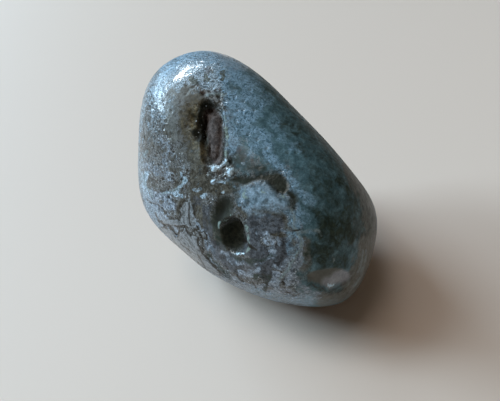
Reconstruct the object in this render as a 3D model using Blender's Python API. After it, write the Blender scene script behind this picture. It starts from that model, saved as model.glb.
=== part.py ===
"""River pebble: one tumbled stone with a slot, two oval hollows, a chipped corner and small knobs.

The stone is a single solid. An icosphere's points are carried out to the worn faces of a rounded
block, broad lumps loosen the form, and pits and knobs move the points in or out along the normal
of their own spot. It lies as it comes to rest, leaning, on a small flat worn underneath.
Lengths are in millimetres up to the mesh itself, which is in metres.
"""

from dataclasses import dataclass
import math

import bmesh
import bpy
import numpy as np
from mathutils import Vector, noise

NAME = "pebble"
METRES = 0.001

SUBDIVISIONS = 6
DENT_CUTS = 2  # further cuts of each edge around a dent
DENT_MARGIN = 1.2  # times a dent's longer radius
KEPT_SHARE = 0.2  # of the dense triangles, once the smooth flanks are thinned
ROUNDING = 8.0  # a higher number keeps the block's edges sharper
GRAIN_OF_SIZE = 6  # decimals of a metre that a point is held to

# Height of the heart of the stone above the ground, where its underside is worn flat.
HEART_HEIGHT = 15.9
GROUND_SLAB = 80.0

LUMP_SIZE = 9.0
LUMP_HEIGHT = 0.28
LUMP_SHIFT = (3.1, 7.7, 1.9)


@dataclass(frozen=True)
class Face:
    """A worn face: its bearing from +X, its slope above the level and its distance from the heart."""

    bearing: float
    slope: float
    distance: float


@dataclass(frozen=True)
class Dent:
    """A hollow or, with a negative depth, a knob: where it is, how large, and how it leans.

    The length runs uphill, turned by lean degrees. The wall is the share of the radius over which
    the side falls to the floor, and a higher squareness gives straighter sides.
    """

    bearing: float
    slope: float
    half_width: float
    half_length: float
    depth: float
    lean: float = 0.0
    wall: float = 0.6
    squareness: float = 2.0


FACES = (
    Face(8, 28, 11.3),  # the straight upper flank
    Face(-25, -8, 18.4),
    Face(25, 45, 13.8),
    Face(98, 62, 20.3),  # the crown, over the far end
    Face(140, 38, 20.9),
    Face(110, 0, 19.5),
    Face(88, 20, 18.3),
    Face(-178, 15, 16.5),
    Face(140, -35, 17.0),
    Face(-150, -25, 14.4),  # the overhang on the left
    Face(-120, -35, 16.3),
    Face(-53, -30, 23.5),  # the near end
    Face(0, -50, 18.0),
    Face(-135, 20, 14.8),  # the broad front, where the hollows are
    Face(-80, 58, 15.5),
    Face(-60, 5, 20.0),
    Face(65, -30, 14.5),
    Face(0, -90, 16.3),  # the underside
)

DENTS = (
    Dent(-128, 58, 2.8, 5.2, 0.5, lean=-12, wall=1.0),  # the dip around the slot
    Dent(-116.7, 56.2, 1.4, 4.2, 2.0, lean=-11, wall=0.75, squareness=2.8),  # the slot
    Dent(-131, 66, 1.0, 1.2, 0.9, wall=1.0),  # the cave at its top
    Dent(-143.7, 72.1, 0.5, 0.5, 0.5, wall=1.0),  # the pinhole above it
    Dent(-110.5, 20.3, 1.3, 2.1, 0.6, lean=13, wall=0.9),  # the shallow hollow
    Dent(-104.1, 10.4, 1.3, 2.1, 1.7, lean=-12, wall=0.8, squareness=2.4),  # the deep hollow
    Dent(-75.2, -1.5, 2.4, 1.3, 0.4, lean=-6, wall=0.6, squareness=2.6),  # the chip
    Dent(-126.6, 73.8, 1.2, 0.5, -0.25, lean=-8, wall=1.0),  # the ridge above the slot
    Dent(-114.2, 40.7, 0.8, 0.6, -0.4, wall=1.0),  # the knobs at the slot's foot
    Dent(-104.4, 38.6, 0.7, 0.8, -0.45, wall=1.0),
    Dent(-106.5, 46.0, 0.5, 1.2, -0.3, wall=1.0),
    Dent(-115.5, 34.7, 0.7, 0.6, -0.3, wall=1.0),
    Dent(35, 5, 1.8, 1.0, 0.35, lean=30, wall=0.9),  # scars on the sides out of the light
    Dent(95, 20, 0.9, 1.4, 0.5, lean=-20, wall=0.9),
    Dent(160, -5, 0.8, 0.7, 0.4, wall=0.9),
    Dent(10, -30, 1.0, 0.8, 0.4, wall=0.9),
)


def direction(bearing, slope):
    """The unit vector that points along a bearing, raised by a slope, both in degrees."""
    turn, rise = math.radians(bearing), math.radians(slope)
    flat = math.cos(rise)
    return np.array((flat * math.cos(turn), flat * math.sin(turn), math.sin(rise)))


def worn_block(ways):
    """Carries unit vectors from the heart out to the worn block's surface."""
    nearness = np.zeros(len(ways))
    for face in FACES:
        facing = ways @ direction(face.bearing, face.slope)
        nearness += np.maximum(facing / face.distance, 0) ** ROUNDING
    return ways * nearness[:, None] ** (-1 / ROUNDING)


def lumps(points):
    """How far the broad lumps lift each point of the surface."""
    shift = Vector(LUMP_SHIFT)
    return np.array([noise.noise(Vector(p) / LUMP_SIZE + shift) for p in points]) * LUMP_HEIGHT


def stone_surface(ways):
    """The stone before its dents: the worn block with its lumps."""
    block = worn_block(ways)
    return block + ways * lumps(block)[:, None]


def spot(dent):
    """A dent's place on the stone, with its outward, across and along directions."""
    way = direction(dent.bearing, dent.slope)
    uphill = np.cross(np.cross(way, (0.0, 0.0, 1.0)), way)
    uphill /= np.linalg.norm(uphill)
    level = np.cross(way, uphill)
    step = 0.02
    around = [way, way + step * level, way - step * level, way + step * uphill, way - step * uphill]
    around = worn_block(np.array([w / np.linalg.norm(w) for w in around]))
    outward = np.cross(around[1] - around[2], around[3] - around[4])
    outward *= math.copysign(1, outward @ way) / np.linalg.norm(outward)
    lean = math.radians(dent.lean)
    along = uphill - outward * (uphill @ outward)
    along /= np.linalg.norm(along)
    across = np.cross(along, outward)
    leaning = along * math.cos(lean) + across * math.sin(lean)
    return around[0], outward, np.cross(leaning, outward), leaning


def dented(points, dent):
    """Moves the points inside a dent's outline in by its depth, with soft walls."""
    centre, outward, across, along = spot(dent)
    offset = points - centre
    reach = max(dent.half_width, dent.half_length)
    power = dent.squareness
    ring = np.abs(offset @ across / dent.half_width) ** power
    ring += np.abs(offset @ along / dent.half_length) ** power
    ring = ring ** (1 / power)
    fall = np.clip((1 - ring) / dent.wall, 0, 1)
    fall = fall * fall * (3 - 2 * fall)
    fall[np.abs(offset @ outward) > reach] = 0  # leaves the stone's other side alone
    return points - np.outer(fall * dent.depth, outward)


def ways_of(shape):
    """The unit vectors from the heart to a mesh's points."""
    ways = np.array([v.co for v in shape.verts])
    return ways / np.linalg.norm(ways, axis=1)[:, None]


def refine_dents(shape):
    """Cuts the sphere's edges finer wherever a dent will be."""
    ways = ways_of(shape)
    near = np.zeros(len(ways), bool)
    for dent in DENTS:
        way = direction(dent.bearing, dent.slope)
        distance = np.linalg.norm(worn_block(way[None]))
        reach = DENT_MARGIN * max(dent.half_width, dent.half_length)
        near |= ways @ way > math.cos(reach / distance)
    edges = [e for e in shape.edges if near[e.verts[0].index] or near[e.verts[1].index]]
    bmesh.ops.subdivide_edges(shape, edges=edges, cuts=DENT_CUTS, use_grid_fill=True)
    bmesh.ops.triangulate(shape, faces=shape.faces)


def build_stone(collection):
    """Makes the dense stone, standing over the origin with its heart at the resting height."""
    shape = bmesh.new()
    bmesh.ops.create_icosphere(shape, subdivisions=SUBDIVISIONS, radius=1)
    refine_dents(shape)
    ways = ways_of(shape)
    points = stone_surface(ways)
    for dent in DENTS:
        points = dented(points, dent)
    low, high = points.min(axis=0), points.max(axis=0)
    middle = (low + high) / 2
    points -= (middle[0], middle[1], -HEART_HEIGHT)
    for vertex, point in zip(shape.verts, np.round(points * METRES, GRAIN_OF_SIZE)):
        vertex.co = point
    mesh = bpy.data.meshes.new(NAME)
    shape.to_mesh(mesh)
    shape.free()
    mesh.shade_smooth()
    stone = bpy.data.objects.new(NAME, mesh)
    collection.objects.link(stone)
    return stone


def thin_out(stone):
    """Joins small triangles where the surface is smooth, and keeps them in the dents."""
    thinning = stone.modifiers.new("thin_out", "DECIMATE")
    thinning.decimate_type = "COLLAPSE"
    thinning.ratio = KEPT_SHARE


def build_ground(collection):
    """Makes the slab that the stone's underside is worn down to: its top is the ground."""
    shape = bmesh.new()
    bmesh.ops.create_cube(shape, size=GROUND_SLAB * METRES)
    bmesh.ops.translate(shape, verts=shape.verts, vec=(0, 0, -GROUND_SLAB * METRES / 2))
    mesh = bpy.data.meshes.new("ground_cutter")
    shape.to_mesh(mesh)
    shape.free()
    ground = bpy.data.objects.new("ground_cutter", mesh)
    ground.hide_render = True
    ground.display_type = "WIRE"
    collection.objects.link(ground)
    return ground


def wear_flat(stone, ground):
    """Cuts the stone off level where it rests."""
    cut = stone.modifiers.new("rest_flat", "BOOLEAN")
    cut.operation = "DIFFERENCE"
    cut.solver = "EXACT"
    cut.object = ground


def stone_material():
    """A dark, glossy green-grey."""
    material = bpy.data.materials.new("tumbled_stone")
    material.use_nodes = True
    shader = material.node_tree.nodes["Principled BSDF"]
    shader.inputs["Base Color"].default_value = (0.09, 0.115, 0.11, 1)
    shader.inputs["Roughness"].default_value = 0.25
    shader.inputs["Metallic"].default_value = 0
    return material


def new_collection(name):
    """Adds an empty collection to the scene."""
    collection = bpy.data.collections.new(name)
    bpy.context.scene.collection.children.link(collection)
    return collection


def main():
    """Clears the scene and builds the pebble."""
    for old in list(bpy.data.objects):
        bpy.data.objects.remove(old, do_unlink=True)
    stone = build_stone(new_collection("river_pebble"))
    stone.data.materials.append(stone_material())
    cutters = new_collection("cutters")
    cutters.hide_render = True
    thin_out(stone)
    wear_flat(stone, build_ground(cutters))


main()
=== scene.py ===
"""River pebble: one polished stone, dressed over its plain solid.

The stone's surface is carried out from its heart to the same worn faces, lumps and dents as the
solid's, on a far finer mesh. Zones of colour, veins and cracks are stored on the mesh as distances
in millimetres and tints as densities, and one procedural material reads them; some of them are
painted shade, painted highlights and painted sheen. A Geometry Nodes tree raises the grain and
sinks the pinholes. Lengths are in millimetres until a mesh is made, which is in metres.
"""

from dataclasses import dataclass
from enum import Enum
import logging
import math

import bmesh
import bpy
import numpy as np
from mathutils import Matrix, Vector, noise


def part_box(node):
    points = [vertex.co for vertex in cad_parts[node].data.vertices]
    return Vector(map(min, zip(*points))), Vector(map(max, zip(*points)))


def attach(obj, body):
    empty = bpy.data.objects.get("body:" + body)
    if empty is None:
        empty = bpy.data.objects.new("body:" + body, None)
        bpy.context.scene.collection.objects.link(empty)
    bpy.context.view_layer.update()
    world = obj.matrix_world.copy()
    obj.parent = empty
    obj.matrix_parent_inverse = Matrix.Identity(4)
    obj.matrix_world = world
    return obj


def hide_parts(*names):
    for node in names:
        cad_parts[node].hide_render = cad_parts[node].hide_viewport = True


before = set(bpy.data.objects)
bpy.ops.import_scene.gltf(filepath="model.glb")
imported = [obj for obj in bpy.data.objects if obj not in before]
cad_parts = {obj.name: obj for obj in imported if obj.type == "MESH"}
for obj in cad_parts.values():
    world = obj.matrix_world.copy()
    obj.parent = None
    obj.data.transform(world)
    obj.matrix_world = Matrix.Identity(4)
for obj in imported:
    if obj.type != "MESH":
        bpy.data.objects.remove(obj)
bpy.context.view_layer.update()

LOG = logging.getLogger("river_pebble")
METRES = 0.001
TINY = 1e-9  # keeps a division from failing

Array = np.ndarray
Colour = tuple[float, float, float]
Shift = tuple[float, float, float]
Outline = tuple[tuple[float, float], ...]
Socket = bpy.types.NodeSocket
Inputs = dict[str | int, object]


def unit(vectors: Array) -> Array:
    """Vectors, or one vector, scaled to length one."""
    return vectors / np.linalg.norm(vectors, axis=-1, keepdims=True)


def smooth_step(values: Array) -> Array:
    """Zero below zero, one above one, and an even rise between."""
    held = np.clip(values, 0, 1)
    return held * held * (3 - 2 * held)


def covered(depth: Array, blur: float) -> Array:
    """How much a zone covers points at these depths in it, with its edge blurred over a width."""
    return smooth_step(depth / blur + 0.5)


def noise_field(points: Array, size: float, shift: Shift) -> Array:
    """Smooth noise from about -1 to 1.

    Args:
        points: The places, in millimetres.
        size: How far apart its swells are.
        shift: Where in the noise to read.

    Returns:
        One value for each point.
    """
    start = Vector(shift)
    return np.array([noise.noise(Vector(point) / size + start) for point in points])


# ---- the front view ----


@dataclass(frozen=True)
class FrontView:
    """The front view, seen from a hand's width away, and the image it makes.

    Image points are counted from the top left corner. Positions are relative to the stone's heart.
    """

    width: float = 500.0
    height: float = 401.0
    focal: float = 500.0
    pitch: float = 35.0
    roll: float = 12.0
    heart_x: float = 255.0
    heart_y: float = 182.0
    distance: float = 71.0
    sensor: float = 36.0

    def axes(self) -> tuple[Array, Array, Array]:
        """The camera's right, up and forward directions."""
        pitch, roll = math.radians(self.pitch), math.radians(self.roll)
        forward = np.array((0.0, math.cos(pitch), -math.sin(pitch)))
        level = np.array((1.0, 0.0, 0.0))
        above = np.array((0.0, math.sin(pitch), math.cos(pitch)))
        right = math.cos(roll) * level - math.sin(roll) * above
        up = math.sin(roll) * level + math.cos(roll) * above
        return right, up, forward

    def ray(self, x: float, y: float) -> Array:
        """The direction from the camera through an image point."""
        right, up, forward = self.axes()
        across, down = x - self.width / 2, y - self.height / 2
        return unit(forward * self.focal + right * across - up * down)

    def eye(self) -> Array:
        """Where the camera is."""
        return -self.ray(self.heart_x, self.heart_y) * self.distance

    def facing(self, points: Array, normals: Array) -> Array:
        """How squarely each point faces the camera: one straight on, and nought edge on."""
        return np.einsum("ij,ij->i", normals, unit(self.eye() - points))

    def project(self, points: Array) -> tuple[Array, Array]:
        """Places points in the image.

        Args:
            points: Positions in millimetres from the heart.

        Returns:
            The image points, and each one's millimetres to a pixel.
        """
        right, up, forward = self.axes()
        offset = points - self.eye()
        scale = offset @ forward / self.focal
        x = self.width / 2 + offset @ right / scale
        y = self.height / 2 - offset @ up / scale
        return np.stack((x, y), axis=1), scale


VIEW = FrontView()


# ---- the form of the stone ----


@dataclass(frozen=True)
class Face:
    """A worn face: its bearing from +X, its slope above the level and its distance from the heart."""

    bearing: float
    slope: float
    distance: float


@dataclass(frozen=True)
class Heading:
    """A place on the stone, by the bearing and slope of the line to it from the heart."""

    bearing: float
    slope: float

    def way(self, form: "WornForm") -> Array:
        """The unit vector to the place."""
        return heading_vector(self.bearing, self.slope)


@dataclass(frozen=True)
class Seen:
    """A place on the stone, by its point in the front view's image."""

    x: float
    y: float

    def way(self, form: "WornForm") -> Array:
        """The unit vector to the place."""
        return form.cast(self.x, self.y)


@dataclass(frozen=True)
class Dent:
    """A hollow or, with a negative depth, a knob.

    The length runs uphill, turned by lean degrees. The wall is the share of the radius over which
    the side falls to the floor, a higher squareness gives straighter sides, wobble loosens the
    outline, and tilt pushes the floor along or against the dent's width.
    """

    place: Heading | Seen
    half_width: float
    half_length: float
    depth: float
    lean: float = 0.0
    wall: float = 0.6
    squareness: float = 2.0
    wobble: float = 0.0
    tilt: float = 0.0


def heading_vector(bearing: float, slope: float) -> Array:
    """The unit vector that points along a bearing, raised by a slope, both in degrees."""
    turn, rise = math.radians(bearing), math.radians(slope)
    flat = math.cos(rise)
    return np.array((flat * math.cos(turn), flat * math.sin(turn), math.sin(rise)))


FACES = (
    Face(10, 30, 11.1),  # the straight upper flank
    Face(-23, -5, 18.1),
    Face(23, 41, 14.1),
    Face(98, 62, 20.3),  # the crown, over the far end
    Face(140, 39, 20.9),
    Face(110, 0, 19.5),
    Face(88, 20, 18.3),
    Face(-178, 15, 16.5),
    Face(140, -35, 17.0),
    Face(-150, -25, 14.4),  # the overhang on the left
    Face(-121, -37, 15.9),
    Face(-53.5, -31, 23.5),  # the near end
    Face(1, -51, 18.0),
    Face(-135, 20, 14.5),  # the broad front, where the hollows are
    Face(-80, 58, 15.5),
    Face(-59, 9, 20.3),
    Face(65, -30, 14.5),
    Face(0, -90, 16.3),  # the underside
)

DENTS = (
    Dent(Heading(-128, 58), 2.8, 5.2, 0.5, lean=-12, wall=1.0),  # the dip around the slot
    Dent(Heading(-116.7, 56.2), 1.5, 4.25, 0.8, lean=-11, wall=0.25, squareness=2.8, wobble=0.12),
    Dent(Seen(202.5, 122), 0.35, 2.4, 0.7, lean=-16, wall=0.9, tilt=-0.25, wobble=0.2),
    Dent(Seen(207, 148), 0.3, 2.2, 0.4, lean=-8, wall=0.9, wobble=0.2),  # under its left wall
    Dent(Seen(214, 137), 1.25, 3.9, -0.4, lean=-10, wall=0.6, squareness=2.4, wobble=0.2),  # its bar
    Dent(Seen(212, 118), 0.8, 0.9, -0.15, lean=-10, wall=1.0, wobble=0.3),  # lumps on the bar
    Dent(Seen(215, 132), 0.7, 0.8, -0.12, lean=20, wall=1.0, wobble=0.3),
    Dent(Seen(214, 152), 0.7, 0.9, -0.12, lean=-20, wall=1.0, wobble=0.3),
    Dent(Seen(207, 104), 1.1, 0.85, 1.2, wall=0.9, wobble=0.2),  # the cave at its top
    Dent(Seen(200, 119), 0.55, 1.3, 0.6, lean=-8, wall=0.9, wobble=0.25),  # holes in its left slope
    Dent(Seen(197, 134), 0.75, 1.0, 0.45, lean=-20, wall=0.9, wobble=0.3),
    Dent(Seen(192, 118), 0.6, 0.9, 0.25, wall=1.0, wobble=0.3),
    Dent(Seen(204, 146), 0.6, 1.1, -0.3, lean=10, wall=1.0, wobble=0.3),
    Dent(Seen(203, 94), 0.4, 0.38, 0.3, wall=1.0, wobble=0.2),  # the pinhole above it
    Dent(Seen(214, 95), 1.2, 0.4, -0.2, lean=-8, wall=1.0, wobble=0.15),  # and the ridge
    Dent(Seen(219.5, 98), 0.22, 0.5, 0.3, lean=-30, wall=1.0),
    Dent(Seen(222, 211), 1.5, 2.2, 0.5, lean=13, wall=1.0, wobble=0.12),  # the shallow hollow
    # the deep hollow, and the glint at its foot
    Dent(Seen(233, 235.5), 1.8, 2.35, 1.7, lean=-10, wall=0.4, squareness=2.3, wobble=0.06),
    Dent(Seen(240, 253.5), 0.5, 0.26, -0.3, lean=-10, wall=1.0, wobble=0.2),
    Dent(Seen(215, 168.5), 0.7, 0.34, -0.4, wall=1.0, wobble=0.35),  # knobs at the slot's foot
    Dent(Seen(214, 171), 0.34, 0.36, -0.3, wall=1.0, wobble=0.3),
    Dent(Seen(222, 166), 0.7, 0.16, -0.3, lean=-40, wall=1.0, wobble=0.3),
    Dent(Seen(226.7, 163), 0.17, 0.6, -0.3, lean=-18, wall=1.0, wobble=0.3),
    Dent(Seen(231, 171.5), 0.5, 0.55, -0.45, wall=0.9, wobble=0.4, squareness=1.6),
    Dent(Seen(213.5, 181.5), 0.5, 0.25, -0.25, wall=1.0, wobble=0.4),
    Dent(Seen(221, 173), 0.75, 0.5, 0.3, wall=1.0, wobble=0.3),
    Dent(Seen(207, 171), 0.5, 0.8, 0.3, wall=1.0, wobble=0.3),
    Dent(Seen(231, 162), 0.35, 0.5, 0.3, wall=1.0),
    Dent(Seen(188, 190), 0.35, 0.9, 0.12, lean=-50, wall=1.0, wobble=0.3),  # folds on the left
    Dent(Seen(155, 184), 1.1, 0.8, 0.15, wall=0.8, wobble=0.4),
    Dent(Seen(176, 235), 0.35, 0.3, 0.15, wall=0.9),
    Dent(Heading(35, 5), 1.8, 1.0, 0.35, lean=30, wall=0.8, wobble=0.15),  # scars on hidden sides
    Dent(Heading(95, 20), 0.9, 1.4, 0.5, lean=-20, wall=0.8, wobble=0.15),
    Dent(Heading(160, -5), 0.8, 0.7, 0.4, wall=0.8, wobble=0.15),
    Dent(Heading(10, -30), 1.0, 0.8, 0.4, wall=0.8, wobble=0.15),
)


@dataclass(frozen=True)
class WornForm:
    """The rounded block with broad lumps that the stone was worn to."""

    faces: tuple[Face, ...] = FACES
    rounding: float = 8.0
    lump_size: float = 9.0
    lump_height: float = 0.28
    lump_shift: Shift = (3.1, 7.7, 1.9)
    heart_height: float = 15.9
    wobble_size: float = 1.6
    wobble_shift: Shift = (5.3, 0.4, 8.8)
    sight_start: float = 30.0  # where along a line of sight the stone is looked for
    sight_end: float = 100.0
    sight_steps: int = 3500
    slope_step: float = 0.02  # how far round a dent's centre the slope is felt, in radians
    dent_reach: float = 1.6  # times a dent's longer radius: nothing past it moves

    def block(self, ways: Array) -> Array:
        """Carries unit vectors out to the worn block."""
        nearness = np.zeros(len(ways))
        for face in self.faces:
            facing = ways @ heading_vector(face.bearing, face.slope)
            nearness += np.maximum(facing / face.distance, 0) ** self.rounding
        return ways * nearness[:, None] ** (-1 / self.rounding)

    def surface(self, ways: Array) -> Array:
        """Carries unit vectors out to the block with its lumps."""
        block = self.block(ways)
        lift = noise_field(block, self.lump_size, self.lump_shift) * self.lump_height
        return block + ways * lift[:, None]

    def cast(self, x: float, y: float) -> Array:
        """The unit vector to the stone's point that shows at an image point.

        Args:
            x: Pixels from the image's left edge.
            y: Pixels from its top edge.

        Returns:
            The way from the heart to the first point that the line of sight meets.
        """
        along = np.linspace(self.sight_start, self.sight_end, self.sight_steps)[:, None]
        line = VIEW.eye() + along * VIEW.ray(x, y)
        ways = unit(line)
        inside = np.linalg.norm(line, axis=1) < np.linalg.norm(self.block(ways), axis=1)
        return ways[np.argmax(inside)]

    def spot(self, dent: Dent) -> tuple[Array, Array, Array, Array]:
        """A dent's centre on the block, with its outward, across and along directions."""
        way = dent.place.way(self)
        uphill = unit(np.cross(np.cross(way, (0.0, 0.0, 1.0)), way))
        aside, above = self.slope_step * np.cross(way, uphill), self.slope_step * uphill
        around = (way, way + aside, way - aside, way + above, way - above)
        around = self.block(unit(np.array(around)))
        outward = unit(np.cross(around[1] - around[2], around[3] - around[4]))
        outward *= math.copysign(1, outward @ way)
        lean = math.radians(dent.lean)
        along = unit(uphill - outward * (uphill @ outward))
        leaning = along * math.cos(lean) + np.cross(along, outward) * math.sin(lean)
        return around[0], outward, np.cross(leaning, outward), leaning

    def dented(self, points: Array, dent: Dent) -> Array:
        """Moves the points inside a dent's outline in by its depth."""
        centre, outward, across, along = self.spot(dent)
        offset = points - centre
        reach = self.dent_reach * max(dent.half_width, dent.half_length)
        near = np.linalg.norm(offset, axis=1) < reach
        near_offset = offset[near]
        power = dent.squareness
        ring = np.abs(near_offset @ across / dent.half_width) ** power
        ring += np.abs(near_offset @ along / dent.half_length) ** power
        ring = ring ** (1 / power)
        if dent.wobble:
            ring += dent.wobble * noise_field(points[near], self.wobble_size, self.wobble_shift)
        fall = smooth_step((1 - ring) / dent.wall)
        moved = points.copy()
        push = outward * -dent.depth + across * dent.tilt
        moved[near] += fall[:, None] * push
        return moved


# ---- zones of colour, as the front view shows them ----


class Zone(Enum):
    """The stone's zones. Each is an attribute: millimetres in from the zone's edge."""

    TEAL = "teal"
    ISLAND = "island"
    PALE = "pale"
    ARCH = "arch"
    # light veins, and a painted highlight line
    VEIN_AND_HIGHLIGHT = "vein_and_highlight"
    LINE = "line"
    OCHRE = "ochre"
    MAROON = "maroon"
    # painted shade in the slot and the shallow hollow
    PAINTED_SHADE = "painted_shade"
    # the hollows, their near-black colour painted shade
    SHADED_HOLLOW = "shaded_hollow"
    # pale rims, partly a painted highlight on lit lips, and painted glints
    RIM_AND_GLINT = "rim_and_glint"
    CHIP = "chip"
    # knobs, pale with a painted glint, and painted glints
    KNOB_GLINT = "knob_glint"


class Tint(Enum):
    """Colours that gather in clouds. Each is an attribute: how dense it is, from nought to one."""

    # smooth grey, and a painted reflection along the right rim
    HAZE_AND_SHEEN = "haze_and_sheen"
    UMBER = "umber"
    MAUVE = "mauve"
    SLATE = "slate"
    # painted reflection of the sky, and glints
    MIST = "sky_sheen"
    # pale teal, partly a painted sky sheen
    FROST_AND_SHEEN = "frost_and_sheen"
    MOSS = "moss"
    # dark places, partly painted shade
    DARK_AND_SHADE = "dark_and_shade"
    BLUSH = "blush"
    GLOSS = "gloss"
    SLICK = "slick"


CLOUD_END = 1.5  # times half a cloud's width, where it has faded out


@dataclass(frozen=True)
class Cloud:
    """A soft stroke of a tint in the front view's image, with half its width in pixels.

    It is whole up to half of that, and half as dense at its edge.
    """

    points: Outline
    half_width: float
    density: float

    def reach(self, seen: Array) -> Array:
        """How dense the tint is at each image point."""
        return self.density * smooth_step(CLOUD_END - to_line(seen, self.points) / self.half_width)


@dataclass(frozen=True)
class Patch:
    """A closed outline in the front view's image, part of a zone."""

    outline: Outline

    def inside(self, seen: Array) -> Array:
        """How many pixels each image point is in from the outline, negative outside it."""
        x, y = seen.T
        closed = (*self.outline, self.outline[0])
        within = np.zeros(len(seen), bool)
        for (start_x, start_y), (end_x, end_y) in zip(closed, closed[1:]):
            spans = (start_y > y) != (end_y > y)
            rise = end_y - start_y or TINY
            within ^= spans & (x < start_x + (y - start_y) * (end_x - start_x) / rise)
        nearest = to_line(seen, closed)
        return np.where(within, nearest, -nearest)


@dataclass(frozen=True)
class Path:
    """An open path in the front view's image, drawn with a width in pixels."""

    points: Outline
    width: float

    def inside(self, seen: Array) -> Array:
        """How many pixels each image point is in from the path's side, negative outside it."""
        return self.width / 2 - to_line(seen, self.points)


def clouds(*rows: tuple) -> tuple[Cloud, ...]:
    """Makes clouds from rows of half a width, a density and a stroke's points."""
    return tuple(Cloud(tuple(points), half_width, density) for half_width, density, *points in rows)


def patches(*outlines: Outline) -> tuple[Patch, ...]:
    """Makes patches from their outlines."""
    return tuple(Patch(outline) for outline in outlines)


def paths(*rows: tuple) -> tuple[Path, ...]:
    """Makes paths from rows of a width and a path's points."""
    return tuple(Path(tuple(points), width) for width, *points in rows)


def to_line(seen: Array, points: Outline) -> Array:
    """The distance from each image point to a line of straight segments."""
    corners = np.array(points, dtype=float)
    return np.min([to_segment(seen, *ends) for ends in zip(corners, corners[1:])], axis=0)


def to_segment(seen: Array, start: Array, end: Array) -> Array:
    """The distance from each image point to a straight segment."""
    run = end - start
    share = np.clip((seen - start) @ run / max(run @ run, TINY), 0, 1)
    return np.linalg.norm(seen - start - share[:, None] * run, axis=1)


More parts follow.
